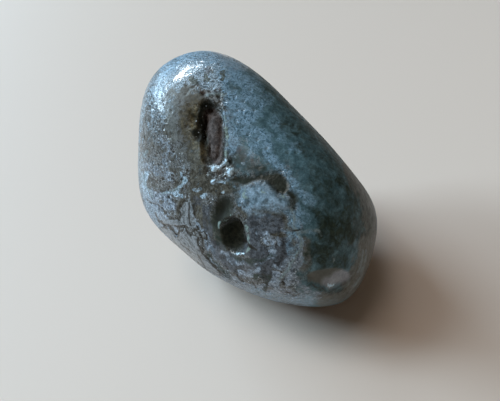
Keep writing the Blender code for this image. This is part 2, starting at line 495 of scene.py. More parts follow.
MARKS: dict[Zone, tuple[Patch | Path, ...]] = {
    # the cool side, right of the seam that runs from the crown past the slot to the near end
    Zone.TEAL: patches(
        ((214, 40), (226, 80), (228, 104), (229, 150), (236, 172), (262, 174), (288, 170), (294, 200),
         (293, 228), (302, 242), (302, 258), (296, 275), (300, 320), (420, 330), (420, 40)),
    ),
    # polished islands on the lower left, with cracks between them
    Zone.ISLAND: patches(
        ((160, 222), (166, 219), (173, 218.5), (179, 219), (182, 216), (180.5, 211), (182, 205), (185, 202),
         (188, 201), (189.5, 198.5), (191, 203), (194, 205), (194.5, 211), (195, 219), (197, 226),
         (199, 229), (194, 229.5), (189, 228), (186, 226), (180, 226.5), (173, 226), (166, 224.5)),
        ((159, 228), (165, 227.5), (170, 228), (173, 232), (176, 236.5), (178, 236.5), (179.5, 231),
         (184, 230), (187, 232), (190, 235.5), (195, 236.5), (198, 238), (198, 243), (201, 250), (206, 257),
         (213, 265), (222, 274), (214, 277), (204, 268), (190, 258), (170, 241)),
        ((200, 232.5), (204, 231), (207, 234), (206.5, 239), (203, 238)),
    ),
    # the pale patch
    Zone.PALE: patches(
        ((243, 187), (250, 184), (258, 181.5), (266, 182), (271, 186), (277, 191), (283, 195.5), (290, 197),
         (289, 203), (291, 210), (284, 209), (270, 208), (258, 211), (248, 209), (243, 200), (240, 192)),
    ),
    # the dark arch over it, and its foot
    Zone.ARCH: patches(
        ((230, 180), (240, 177), (252.5, 176), (262.5, 174), (268.7, 173.4), (275, 172), (279, 169.5),
         (283, 172.5), (285, 177.5), (288, 183.7), (288, 190), (283.7, 194.8), (280, 193.5), (275, 189.5),
         (270, 184.5), (266, 181.4), (260, 180.9), (253.7, 182), (248.7, 184.6), (242.7, 186), (236, 184)),
    ) + paths(
        (5.0, (290, 193), (293.5, 198), (295, 203), (294.5, 208)),
    ),
    # light veins, and a painted highlight along the lit edge of a crack on the left
    Zone.VEIN_AND_HIGHLIGHT: paths(
        (2.0, (291, 209), (293.5, 214), (294, 220), (293.5, 226), (297, 231), (299, 236), (301, 241),
         (300.5, 248), (297, 254), (294, 259), (291, 264), (289, 269), (284, 274), (279, 280)),
        (1.8, (300, 232), (306, 231.5), (313, 230), (319, 231), (321, 235)),
        # painted highlight along the lit edge of a crack
        (0.9, (162, 193.5), (168, 192), (174, 190), (180, 187.5), (183, 182), (186, 177)),
        (1.5, (143, 175), (145, 184), (150, 190), (152, 197)), (1.2, (142, 157), (147, 151)),
        (2.6, (207, 95.5), (212, 94.5), (218, 94), (224, 95.5)), (1.2, (363, 251), (361, 262), (358, 274)),
        (1.1, (366.5, 250), (365, 262), (361, 276), (354, 287)), (2.0, (333, 256), (334, 262)),
    ),
    # fine dark cracks, and a painted shadow along the chip's lower edge
    Zone.LINE: paths(
        (1.0, (289, 230.5), (296, 230.5), (304, 229)),
        (0.8, (166, 197.5), (172, 198.5), (176, 203), (175, 208), (170, 209.5)),
        (1.2, (146, 199), (151, 203), (158, 205), (161, 211), (166, 213)),
        (0.9, (146, 186), (152, 190), (160, 192.5), (168, 190)), (0.9, (150, 178), (156, 181), (160, 187)),
        (1.0, (172, 178), (177, 183), (181, 180), (184, 174)), (2.4, (244, 240), (250, 246), (256, 250)),
        (1.6, (280, 279.5), (284, 283.5)), (1.2, (252, 281), (256, 288)),
        (1.0, (262, 274), (268, 282), (266, 290)), (1.3, (286, 292), (294, 296), (300, 294)),
        (1.1, (190, 203), (189, 212), (190, 222), (192, 228)),
        (1.5, (236.5, 270), (237.5, 276), (240, 280), (243, 282)),
        (1.7, (155, 213), (159.4, 221.5), (164.8, 226), (172.5, 227.7), (174.8, 233.8), (178.6, 235.4),
         (180, 227.7), (184.8, 227), (187.8, 232.3), (191, 235.4), (195.5, 229.5), (201.7, 235.4),
         (202.5, 243), (203.5, 251)),
        (1.7, (157, 204.5), (162.5, 209), (167, 216), (173, 219), (180, 218.5), (182, 214), (178, 210.5),
         (181, 204), (187, 198.5)),
        # painted shadow along the chip's lower edge
        (1.2, (308, 283), (316, 287), (323, 288.5), (330, 291), (336, 289), (346, 282)),
        (1.2, (181, 244), (188, 249), (191, 253), (188, 251)), (1.0, (198, 254), (203, 263), (208, 271)),
        (0.9, (168, 196), (175, 203), (176, 211)),
    ),
    # the warm left slope of the slot
    Zone.OCHRE: patches(
        ((186, 108), (191, 104), (197, 100), (203, 104), (203, 115), (204, 128), (207, 142), (209, 156),
         (203, 158), (197, 148), (190, 138), (186, 122)),
    ),
    # its bar, and the pinhole above it
    Zone.MAROON: patches(
        ((205, 110), (209, 108.5), (214, 109), (219, 113), (222.5, 122), (223.5, 135), (223, 150),
         (221.5, 161), (217, 165), (211, 163), (208.5, 155), (208, 140), (205, 125), (203.5, 115)),
    ) + paths(
        (2.6, (201.5, 92), (204.5, 93), (203, 96)),
    ),
    # painted shade: near-black colour in the slot's cave and bottoms, down its left slope and wall, at its
    # foot, and in the shallow hollow
    Zone.PAINTED_SHADE: patches(
        ((196, 114), (199, 105), (204, 100.5), (211, 100.5), (217, 105), (213, 107.5), (204, 109.5),
         (203, 115), (204.5, 126), (208, 141), (209, 156), (212, 164), (208, 163), (206.5, 150), (203, 143),
         (199, 136), (198, 126)),
        ((190, 131), (197, 128), (202, 131), (206, 139), (200, 145), (194, 139)),
    ) + paths(
        (2.6, (192, 113), (196, 118), (198, 124)),
        (0.9, (223.5, 108), (224.5, 122), (224.5, 140), (223.5, 158)),
        (2.2, (208, 167), (209, 173), (216, 177), (222, 176), (224, 171)), (2.5, (230, 159), (232, 165)),
        (8.0, (227, 201), (224, 210), (219, 219)),
    ),
    # the shallow and the deep hollow, coloured near black as painted shade
    Zone.SHADED_HOLLOW: patches(
        ((218, 198), (226, 195.5), (232, 198), (234.5, 205), (233, 214), (229, 220), (222, 226), (215, 231),
         (210.5, 222), (212, 208)),
        ((217, 231), (226, 222), (234, 218), (241, 219.5), (245, 228), (246.5, 238), (244.5, 247),
         (239, 251.5), (232, 250), (224, 245), (217, 238)),
    ),
    # pale rims of the hollows and the slot, partly a painted highlight on their lit lips, and small painted
    # glints
    Zone.RIM_AND_GLINT: paths(
        (1.0, (246, 226), (248, 232), (248.5, 240), (249.5, 247), (246, 252)),
        (0.45, (219.5, 228), (219, 223), (224, 221), (229, 219), (231, 215)),
        (0.9, (225.5, 116), (226.5, 128), (227.5, 138), (226.5, 150), (226, 163)),
        (2.0, (226, 127), (226, 129)), (1.2, (244, 186), (245.5, 191), (243.5, 196), (248, 198)),
        (1.7, (262, 192.5), (265, 193)), (1.3, (281, 195.5), (285, 196.5)), (2.0, (227.5, 137), (227, 140)),
        (2.2, (226, 151), (226, 155)),
    ),
    # the chip
    Zone.CHIP: patches(
        ((307, 277), (313, 272), (330, 269), (341, 269), (348, 272), (351.5, 276), (348, 281), (340, 284.5),
         (334, 287), (331, 290), (326, 287), (318, 284.5), (311, 282.5)),
    ),
    # knobs at the feet of the slot and the deep hollow, pale with a painted blue-white glint, and more
    # painted glints
    Zone.KNOB_GLINT: patches(
        ((211, 167.5), (215, 166.5), (219, 167), (220, 169), (216, 170), (215.5, 172), (212, 171.5)),
        ((227.5, 169), (231, 167.5), (234.5, 170), (233, 173.5), (229, 176.5), (227, 173.5)),
    ) + paths(
        (1.2, (212, 181.5), (215, 181)), (1.3, (218, 169), (222, 166.5), (225, 163), (226.2, 160)),
        (1.1, (226.2, 160), (228.5, 165)), (1.8, (237, 254), (240, 253), (242.5, 254)),
        (0.9, (328, 286.5), (332, 287.5), (335, 285)), (1.6, (222, 193), (224, 192.5)),
    ),
}

CLOUDS: dict[Tint, tuple[Cloud, ...]] = {
    # smooth grey on the left slope and the near end, and a painted reflection of the floor along the right
    # rim
    Tint.HAZE_AND_SHEEN: clouds(
        (8, 0.95, (176, 92), (188, 92), (196, 96)), (6, 0.7, (174, 98), (170, 118), (174, 136)),
        (6, 0.5, (182, 150), (188, 160)), (6, 0.4, (352, 240), (360, 226), (366, 212)),
        # painted reflection of the floor along the right rim: this cloud, the flank's edge above and the
        # last
        (7.5, 1.0, (350, 166), (364, 192), (370, 214), (372, 240)),
        (6, 0.6, (254, 216), (268, 217), (284, 220)), (5, 0.6, (288, 226), (291, 240), (288, 254)),
        (7, 0.8, (303, 242), (306, 254), (305, 266)), (6.5, 0.8, (322, 301), (338, 298), (350, 289)),
        (9.5, 0.9, (350, 288), (360, 276), (365, 256), (369, 240)),
    ),
    # brown patches, most of them on the warm side
    Tint.UMBER: clouds(
        (6, 0.6, (184, 112), (183, 124), (188, 144)), (4, 0.5, (147, 136), (156, 146), (148, 152)),
        (4, 0.6, (164, 150), (172, 157)), (3.5, 0.55, (162, 126), (168, 133)),
        (5, 0.42, (150, 181), (156, 186), (162, 190)), (8, 0.95, (194, 150), (198, 170), (196, 186)),
        (6, 0.9, (205, 176), (212, 188), (226, 190), (238, 184)),
        (7, 0.95, (198, 174), (204, 186), (196, 194)), (6, 0.75, (196, 205), (203, 214), (206, 228)),
        (2.6, 0.9, (184, 194), (180, 208), (177, 213)), (2.4, 0.8, (157, 203), (161, 210)),
        (6, 0.85, (212, 232), (220, 242), (224, 236)), (3.5, 0.7, (237, 196), (240, 208), (244, 216)),
        (4, 0.9, (273, 231), (282, 238)), (4, 0.7, (252, 216), (268, 217), (282, 216)),
        (5, 0.5, (172, 168), (180, 178), (178, 186)), (3, 0.8, (250, 244), (256, 252), (262, 262)),
        (3, 0.8, (272, 228), (280, 234), (284, 244)), (3, 0.7, (262, 268), (270, 272), (268, 284)),
        (5, 0.9, (214, 222), (217, 236), (223, 247)), (5, 0.55, (318, 294), (330, 296), (344, 292)),
    ),
    # purple-grey rock round the hollows and below them
    Tint.MAUVE: clouds(
        (7, 0.8, (254, 222), (266, 226), (278, 226)), (6, 0.8, (252, 230), (258, 236), (262, 232)),
        (8, 1.0, (252, 244), (262, 256), (278, 262), (283, 246)),
        (8, 0.9, (216, 248), (230, 262), (250, 266), (268, 272)), (4, 1.0, (246, 250), (252, 254)),
        (5, 0.7, (260, 218), (276, 220)), (5, 0.6, (198, 200), (206, 208), (210, 240)),
        (9, 0.5, (234, 150), (240, 158), (254, 164)),
    ),
    # lavender grey, in small patches
    Tint.SLATE: clouds(
        (4.6, 0.58, (266, 234), (270, 244), (273, 254)), (3.4, 0.55, (276, 238), (281, 243)),
        (2.0, 0.55, (256, 236), (260, 242)), (1.8, 0.7, (282, 228), (288, 232)),
        (3, 0.7, (238, 272), (246, 274), (258, 270)), (4, 0.8, (272, 282), (278, 290), (276, 276)),
        (4, 0.7, (146, 196), (152, 194), (160, 196), (168, 198), (172, 206), (160, 208)),
        (4.4, 0.72, (298, 240), (300, 250), (299, 261), (295, 269), (286, 277)),
        (3, 0.4, (262, 180), (250, 188), (246, 198)),
        (3, 0.45, (244, 264), (256, 266), (268, 258), (276, 260)),
        (3, 0.6, (276, 266), (282, 268), (286, 262), (290, 258)),
        (6, 0.62, (206, 262), (220, 274), (240, 285), (262, 291)),
        (6, 0.8, (288, 282), (292, 272), (296, 262)), (8, 0.56, (262, 296), (288, 296), (308, 301)),
        (5, 0.55, (296, 282), (306, 291), (318, 296)), (5, 0.72, (240, 284), (252, 288), (262, 290)),
        (9, 0.7, (150, 200), (158, 216), (172, 232)), (6, 0.5, (148, 166), (160, 172), (170, 178)),
        (6, 0.42, (160, 140), (170, 146), (164, 164)), (3, 0.75, (190, 205), (194, 218), (198, 228)),
        (3, 0.5, (204, 232), (208, 246), (216, 258)), (3.5, 0.55, (224, 252), (232, 260), (244, 262)),
        (3, 0.5, (250, 207), (262, 204)), (9, 0.66, (190, 64), (204, 72), (214, 84)),
        (6, 0.66, (206, 58), (224, 62), (234, 68)), (3, 0.5, (298, 216), (303, 222), (300, 228)),
    ),
    # painted reflection: a pale blue net of sky sheen and glints over the top and the left edge
    Tint.MIST: clouds(
        (1.6, 0.9, (241, 163), (242.5, 164)), (1.4, 0.8, (248, 141), (248, 143)),
        (1.2, 0.8, (236, 154), (237, 155)),
        (6.5, 0.78, (192, 60), (206, 58), (216, 64), (221, 72), (219, 80)),
        (8, 0.85, (190, 68), (200, 74), (206, 84), (216, 80)), (5, 0.6, (176, 88), (186, 82), (196, 78)),
        (6, 0.42, (170, 98), (164, 108), (158, 120)), (7, 0.27, (152, 136), (162, 142), (172, 150)),
        (5, 0.27, (178, 158), (184, 166), (180, 176)), (8, 0.7, (157, 92), (166, 78), (178, 68), (192, 62)),
        (6, 0.46, (136, 140), (138, 118), (144, 98), (154, 80), (168, 66), (186, 55)),
        (5, 0.48, (136, 150), (138, 172), (144, 190), (151, 210), (160, 226)),
        (8, 0.9, (186, 55), (206, 53), (230, 56), (242, 63)), (4, 0.6, (224, 66), (228, 76)),
        (4, 0.7, (168, 84), (182, 82), (192, 74)), (7, 0.45, (148, 100), (158, 104), (154, 116)),
        (6, 0.36, (148, 126), (156, 130), (160, 122)), (6, 0.27, (144, 158), (154, 162), (166, 166)),
        (5, 0.45, (196, 90), (212, 84), (222, 90)), (3, 0.7, (175, 194), (182, 196)),
        (1.6, 0.8, (165, 193), (173, 192), (180, 189), (184, 182), (183, 174)),
        (2.4, 0.8, (244, 192), (243, 198)), (2, 1.0, (263, 192), (266, 194)),
        (1.6, 0.8, (255, 185), (257, 187)), (1.8, 0.8, (282, 196), (287, 197)),
        (1.6, 0.75, (202, 195), (206, 195)), (2.2, 0.6, (213, 182), (226, 184)),
        (2.4, 0.5, (200, 188), (194, 190)), (2.6, 0.85, (146, 172), (144, 186), (148, 194)),
    ),
    # pale teal beside the slot, partly a painted sky sheen fading down the flank as it turns from the light
    Tint.FROST_AND_SHEEN: clouds(
        (4.5, 0.42, (288, 212), (292, 224), (292, 240), (290, 254)), (5, 0.26, (302, 246), (304, 262)),
        (5, 0.4, (250, 292), (280, 298), (310, 302)), (5, 0.7, (222, 74), (226, 86), (228, 98)),
        (10, 0.74, (232, 100), (240, 112), (248, 118)), (7, 0.62, (230, 118), (234, 134), (232, 146)),
        (5, 0.6, (250, 98), (262, 106)), (7, 0.58, (246, 130), (262, 134), (268, 148)),
        (7, 0.5, (242, 122), (256, 142), (252, 150)), (6, 0.36, (274, 120), (284, 140)),
        (2.6, 0.6, (293, 212), (295, 226), (300, 240)), (2.2, 0.45, (306, 232), (318, 232)),
        (9, 0.5, (166, 68), (188, 58), (214, 59), (232, 68)), (6, 0.62, (266, 150), (272, 160), (282, 170)),
        (4.5, 0.6, (286, 174), (294, 184), (300, 194), (312, 202)),
        (8, 0.72, (236, 76), (248, 86), (246, 96)), (7, 0.44, (252, 78), (262, 90), (258, 112)),
        (4, 0.35, (290, 146), (300, 150)), (4, 0.42, (303, 210), (306, 220)),
        (4, 0.66, (298, 206), (299, 216), (299, 226)), (4, 0.3, (232, 180), (240, 190), (238, 202)),
        (5, 0.5, (226, 62), (238, 68), (248, 76)), (8, 0.5, (240, 74), (254, 88), (266, 100)),
    ),
    # dark mossy cells at the top and by the chip
    Tint.MOSS: clouds(
        (3, 0.7, (192, 79), (195, 82)), (3, 0.75, (206, 74), (207, 80)), (3, 0.7, (223, 74), (222, 80)),
        (2.2, 0.6, (212, 71), (214, 74)), (3.5, 0.55, (310, 260), (309, 270), (309, 280)),
        (3, 0.5, (312, 270), (308, 276)),
    ),
    # dark places, most on the flank: partly painted shade where it turns from the light, and under the chip
    Tint.DARK_AND_SHADE: clouds(
        (3, 0.6, (236, 258), (252, 262), (270, 256)), (4, 0.45, (214, 224), (217, 236), (224, 247)),
        (3, 0.6, (254, 276), (268, 276), (266, 288)), (3, 0.6, (206, 256), (216, 266), (230, 278)),
        (8, 0.42, (230, 156), (244, 164), (256, 168)), (6, 0.36, (226, 178), (236, 184), (238, 196)),
        (6, 0.4, (266, 84), (276, 94), (290, 110), (312, 136), (332, 158), (346, 178)),
        (7, 0.3, (268, 100), (278, 110), (286, 120)), (8, 0.5, (284, 122), (294, 130), (306, 130)),
        (5, 0.5, (298, 145), (308, 152), (312, 164)), (4, 0.66, (337, 178), (345, 183)),
        (4, 0.5, (328, 176), (318, 170)), (7, 0.62, (350, 190), (356, 204), (346, 216)),
        (8, 0.8, (324, 220), (332, 232), (346, 226), (350, 236)),
        (7, 0.7, (322, 232), (336, 244), (326, 250)), (6, 0.5, (336, 196), (330, 206)),
        (5, 0.5, (312, 210), (322, 214)), (6, 0.4, (338, 252), (348, 246), (354, 234)),
        # painted shadow under the chip's lower edge
        (2.6, 0.5, (310, 285), (320, 289), (330, 293), (340, 289)),
        (9, 0.62, (314, 250), (324, 262), (342, 262)), (3, 0.5, (284, 196), (292, 206)),
        (4, 0.55, (250, 166), (262, 170)), (12, 0.5, (316, 140), (338, 166), (358, 196), (364, 226)),
        (13, 0.48, (320, 180), (332, 206), (336, 240)),
    ),
    # the chip's pale end
    Tint.BLUSH: clouds((8.5, 1.0, (332, 288), (341, 281), (353, 276))),
    # where the polish is brightest
    Tint.GLOSS: clouds(
        (8, 1.0, (222, 60), (200, 63), (184, 72)), (5, 1.0, (190, 72), (178, 76), (171, 80)),
        (4, 0.8, (164, 86), (163, 92)),
        (9, 0.35, (150, 84), (144, 100), (141, 130), (144, 170), (152, 200)),
        (10, 0.4, (156, 100), (158, 124), (160, 150), (164, 180)),
        (8, 0.35, (160, 215), (176, 236), (196, 256)), (6, 1.0, (212, 170), (230, 172)),
        (5, 0.3, (250, 194), (278, 202)), (16, 0.35, (236, 100), (250, 130), (262, 160), (300, 200)),
        (7, 0.6, (226, 250), (242, 254), (250, 270)),
    ),
    # where the surface is free of pits
    Tint.SLICK: clouds(
        (4, 0.95, (171, 79), (178, 75), (188, 72)), (2.4, 0.8, (162, 92), (165, 86)),
        (7, 0.8, (188, 100), (178, 120), (184, 144)),
    ),
}

# on the hidden sides: the tints that gather on the cool side, the gloss, and where a tint is rarer
COOL_TINTS = (Tint.FROST_AND_SHEEN, Tint.DARK_AND_SHADE)
GLOSS_BEHIND = 0.3
HIDDEN_SHARE = {Tint.MIST: 0.35, Tint.SLICK: 0.0, Tint.BLUSH: 0.0}


@dataclass(frozen=True)
class ZoneMap:
    """Works out how far inside every zone each point is, and how dense every tint is there."""

    far: float = 6.0  # depths past this are all alike
    edge_of_sight: float = 0.1  # how squarely a point must face the view to be marked
    sight_blur: float = 0.2
    fade: float = 9.0  # how deep inside a zone a point can be, for each unit past that edge
    cool_bearing: float = -8.0  # the hidden sides are split by a plane across this heading
    cool_slope: float = 22.0
    cool_start: float = 1.5
    cool_blur: float = 2.0
    seam_size: float = 5.0  # the seam waves round the back
    seam_swing: float = 4.0
    seam_shift: Shift = (2.9, 8.3, 0.4)
    stray_size: float = 1.1  # the clouds' edges stray over the surface
    stray: float = 0.45
    stray_shifts: tuple[Shift, Shift] = ((1.3, 4.1, 2.2), (7.7, 0.6, 5.4))
    turn: float = 0.3  # how soon the clouds of the hidden sides take over, and how raggedly
    turn_late: float = 0.24
    turn_swing: float = 0.12
    turn_shift: Shift = (4.4, 2.2, 6.6)
    patch_size: float = 4.5  # how large those clouds are, and how dense
    patch_mean: float = 0.5
    patch_swing: float = 0.9
    patch_most: float = 0.75
    patch_start: Shift = (0.0, 1.1, 0.0)  # where in the noise the first tint's are read
    patch_stride: Shift = (3.7, 0.0, 1.9)  # and how much further on each of the next ones is

    def measure(self, points: Array, normals: Array) -> dict[Zone, Array]:
        """Measures every zone.

        Args:
            points: The stone's points, from its heart.
            normals: Their outward normals.

        Returns:
            For each zone, the millimetres that each point is inside it.
        """
        seen, scale = VIEW.project(points)
        facing = VIEW.facing(points, normals)
        limit = (facing - self.edge_of_sight) * self.fade
        found = {}
        for zone in Zone:
            depths = [np.minimum(mark.inside(seen) * scale, limit) for mark in MARKS[zone]]
            found[zone] = np.max(depths, axis=0)
        found[Zone.TEAL] = self.cool_side(points, facing, seen, scale)
        return {zone: np.clip(depth, -self.far, self.far) for zone, depth in found.items()}

    def gather(self, points: Array, normals: Array, cool: Array) -> dict[Tint, Array]:
        """Gathers the clouds: as the front view shows them, and by noise round the back.

        Args:
            points: The stone's points, from its heart.
            normals: Their outward normals.
            cool: How far each is inside the cool side.

        Returns:
            For each tint, how dense it is at each point.
        """
        seen, scale = VIEW.project(points)
        late = self.turn_late + self.turn_swing * noise_field(points, self.patch_size, self.turn_shift)
        shown = smooth_step((VIEW.facing(points, normals) + late) / self.turn)
        for axis, shift in enumerate(self.stray_shifts):
            seen[:, axis] += noise_field(points, self.stray_size, shift) * self.stray / scale
        teal = covered(cool, self.cool_blur)
        found = {}
        for order, tint in enumerate(Tint):
            density = np.max([cloud.reach(seen) for cloud in CLOUDS[tint]], axis=0)
            shift = tuple(start + order * step for start, step in zip(self.patch_start, self.patch_stride))
            behind = self.patch_mean + self.patch_swing * noise_field(points, self.patch_size, shift)
            behind *= teal if tint in COOL_TINTS else 1 - teal
            behind *= HIDDEN_SHARE.get(tint, 1.0)
            if tint is Tint.GLOSS:
                behind = np.full(len(points), GLOSS_BEHIND)
            found[tint] = np.clip(density * shown + self.patch_most * behind * (1 - shown), 0, 1)
        return found

    def cool_side(self, points: Array, facing: Array, seen: Array, scale: Array) -> Array:
        """The cool side's depth: by the seam where it shows, and by a plane round the back."""
        by_seam = MARKS[Zone.TEAL][0].inside(seen) * scale
        by_plane = points @ heading_vector(self.cool_bearing, self.cool_slope) - self.cool_start
        by_plane += self.seam_swing * noise_field(points, self.seam_size, self.seam_shift)
        shown = smooth_step((facing - self.edge_of_sight) / self.sight_blur)
        return by_seam * shown + by_plane * (1 - shown)


# ---- the stone's mesh ----


@dataclass(frozen=True)
class Raised:
    """A zone whose surface stands proud of the rest, or sinks below it, within its edge."""

    zone: Zone
    height: float
    shoulder: float  # how wide the slope at its edge is


RAISED = (
    Raised(Zone.ISLAND, 0.05, 0.25),
    Raised(Zone.PALE, 0.08, 0.5),
    Raised(Zone.ARCH, -0.1, 0.4),
    Raised(Zone.VEIN_AND_HIGHLIGHT, 0.03, 0.2),
    Raised(Zone.LINE, -0.06, 0.15),
    Raised(Zone.RIM_AND_GLINT, 0.04, 0.15),
    Raised(Zone.CHIP, -0.32, 0.35),
)

# the share of the pits that each zone and each tint is free of
SMOOTH_ZONES = {
    Zone.TEAL: 0.7, Zone.ISLAND: 0.7, Zone.CHIP: 0.95, Zone.PALE: 0.6, Zone.MAROON: 0.8, Zone.ARCH: 0.7,
    Zone.SHADED_HOLLOW: 0.8,
}
SMOOTH_TINTS = {Tint.HAZE_AND_SHEEN: 0.5, Tint.MAUVE: 0.55, Tint.UMBER: 0.5, Tint.SLICK: 1.0}


@dataclass(frozen=True)
class StoneMesh:
    """The stone as a fine mesh that carries its zones."""

    form: WornForm = WornForm()
    zones: ZoneMap = ZoneMap()
    subdivisions: int = 7
    fine_left: float = 130.0  # the part of the front view whose detail needs a finer mesh
    fine_right: float = 306.0
    fine_top: float = 84.0
    fine_bottom: float = 306.0
    facing_least: float = 0.12  # and how squarely that part must face the view
    ground_fade: float = 0.6  # over this height the grain fades away towards the ground
    ground_plain: float = 0.1  # and below this share of it there is none
    zone_blur: float = 0.6
    survey_step: int = 2  # degrees between the headings that the stone's box is found along

    def fine_part(self, ways: Array) -> Array:
        """Which points need the finer mesh."""
        points = self.form.block(ways)
        seen, _ = VIEW.project(points)
        within = (seen[:, 0] > self.fine_left) & (seen[:, 0] < self.fine_right)
        within &= (seen[:, 1] > self.fine_top) & (seen[:, 1] < self.fine_bottom)
        return within & (VIEW.facing(points, ways) > self.facing_least)

    def sphere(self) -> bmesh.types.BMesh:
        """Makes the sphere of ways from the heart, finer on the front."""
        shape = bmesh.new()
        bmesh.ops.create_icosphere(shape, subdivisions=self.subdivisions, radius=1)
        fine = self.fine_part(unit(np.array([v.co for v in shape.verts])))
        edges = [e for e in shape.edges if fine[e.verts[0].index] and fine[e.verts[1].index]]
        bmesh.ops.subdivide_edges(shape, edges=edges, cuts=1, use_grid_fill=True)
        bmesh.ops.triangulate(shape, faces=shape.faces)
        return shape

    def build(self, name: str) -> bpy.types.Object:
        """Makes the stone in its resting place.

        Args:
            name: The piece's name.

        Returns:
            The new object, with an attribute for each zone and tint.
        """
        shape = self.sphere()
        points = self.form.surface(unit(np.array([v.co for v in shape.verts])))
        for dent in DENTS:
            points = self.form.dented(points, dent)
        set_points(shape, points)
        normals = normals_of(shape)
        zones = self.zones.measure(points, normals)
        tints = self.zones.gather(points, normals, zones[Zone.TEAL])
        for rise in RAISED:
            lift = covered(zones[rise.zone], rise.shoulder) * rise.height
            points = points + normals * lift[:, None]
        points = self.settle(points)
        set_points(shape, points * METRES)
        mesh = mesh_of(shape, name)
        mesh.shade_smooth()
        for named, values in (*zones.items(), *tints.items()):
            store(mesh, named.value, values)
        store(mesh, "above_ground", smooth_step(points[:, 2] / self.ground_fade - self.ground_plain))
        store(mesh, "pitted", self.pitted(zones, tints))
        return added(name, mesh)

    def pitted(self, zones: dict[Zone, Array], tints: dict[Tint, Array]) -> Array:
        """How rough each point's surface is: most on the warm side, least where it is slick."""
        share = np.ones_like(zones[Zone.TEAL])
        for zone, smoothness in SMOOTH_ZONES.items():
            share *= 1 - smoothness * covered(zones[zone], self.zone_blur)
        for tint, smoothness in SMOOTH_TINTS.items():
            share *= 1 - smoothness * tints[tint]
        return share

    def place(self, points: Array) -> Array:
        """Where the heart goes, to set these points over the middle of the solid's box."""
        low, high = (np.array(corner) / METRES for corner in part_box("pebble"))
        middle = (points.min(axis=0) + points.max(axis=0)) / 2
        place = (low + high) / 2 - middle
        place[2] = self.form.heart_height
        return place

    def settle(self, points: Array) -> Array:
        """Sets the stone in its place, worn flat where it rests."""
        placed = points + self.place(points)
        placed[:, 2] = np.maximum(placed[:, 2], 0)
        return placed

    def heart(self) -> Array:
        """Where the heart of the stone is, in millimetres."""
        step = self.survey_step
        slopes = range(step - 90, 90, step)
        ways = [heading_vector(bearing, slope) for bearing in range(0, 360, step) for slope in slopes]
        return self.place(self.form.surface(unit(np.array(ways))))


def mesh_of(shape: bmesh.types.BMesh, name: str) -> bpy.types.Mesh:
    """Turns a shape into a mesh, and lets the shape go."""
    mesh = bpy.data.meshes.new(name)
    shape.to_mesh(mesh)
    shape.free()
    return mesh


def added(name: str, data: bpy.types.ID) -> bpy.types.Object:
    """Adds an object to the scene."""
    made = bpy.data.objects.new(name, data)
    bpy.context.scene.collection.objects.link(made)
    return made


def set_points(shape: bmesh.types.BMesh, points: Array) -> None:
    """Moves a mesh's points."""
    for vertex, point in zip(shape.verts, points):
        vertex.co = point
    shape.normal_update()


def normals_of(shape: bmesh.types.BMesh) -> Array:
    """The outward normals of a mesh's points."""
    return np.array([v.normal for v in shape.verts])


def store(mesh: bpy.types.Mesh, name: str, values: Array) -> None:
    """Keeps one number for each point of a mesh as an attribute."""
    layer = mesh.attributes.new(name, "FLOAT", "POINT")
    layer.data.foreach_set("value", values.astype(np.float32))


# ---- the grain and pinholes, by Geometry Nodes ----


class Graph:
    """Adds and links the nodes of one tree."""

    def __init__(self, tree: bpy.types.NodeTree) -> None:
        """Takes the tree that the nodes go into."""
        self.tree = tree

    def node(self, kind: str, inputs: Inputs | None = None, **settings: object) -> bpy.types.Node:
        """Adds a node, with values or other nodes' outputs for its inputs.

        Args:
            kind: The node's type.
            inputs: What goes into each input, by the input's name or number.
            settings: The node's own properties.

        Returns:
            The new node.
        """
        made = self.tree.nodes.new(kind)
        for name, value in settings.items():
            setattr(made, name, value)
        for name, value in (inputs or {}).items():
            if isinstance(value, Socket):
                self.tree.links.new(value, made.inputs[name])
            else:
                made.inputs[name].default_value = value
        return made

    def math(self, operation: str, *values: object) -> Socket:
        """Adds a math node on one to three numbers."""
        return self.node("ShaderNodeMath", dict(enumerate(values)), operation=operation).outputs[0]

    def vector(self, operation: str, inputs: Inputs) -> Socket:
        """Adds a vector math node."""
        return self.node("ShaderNodeVectorMath", inputs, operation=operation).outputs["Vector"]

    def ramp(self, value: object, low: object, high: object) -> Socket:
        """Zero below low, one above high, and a smooth rise between."""
        inputs = {"Value": value, "From Min": low, "From Max": high}
        return self.node("ShaderNodeMapRange", inputs, interpolation_type="SMOOTHSTEP").outputs["Result"]


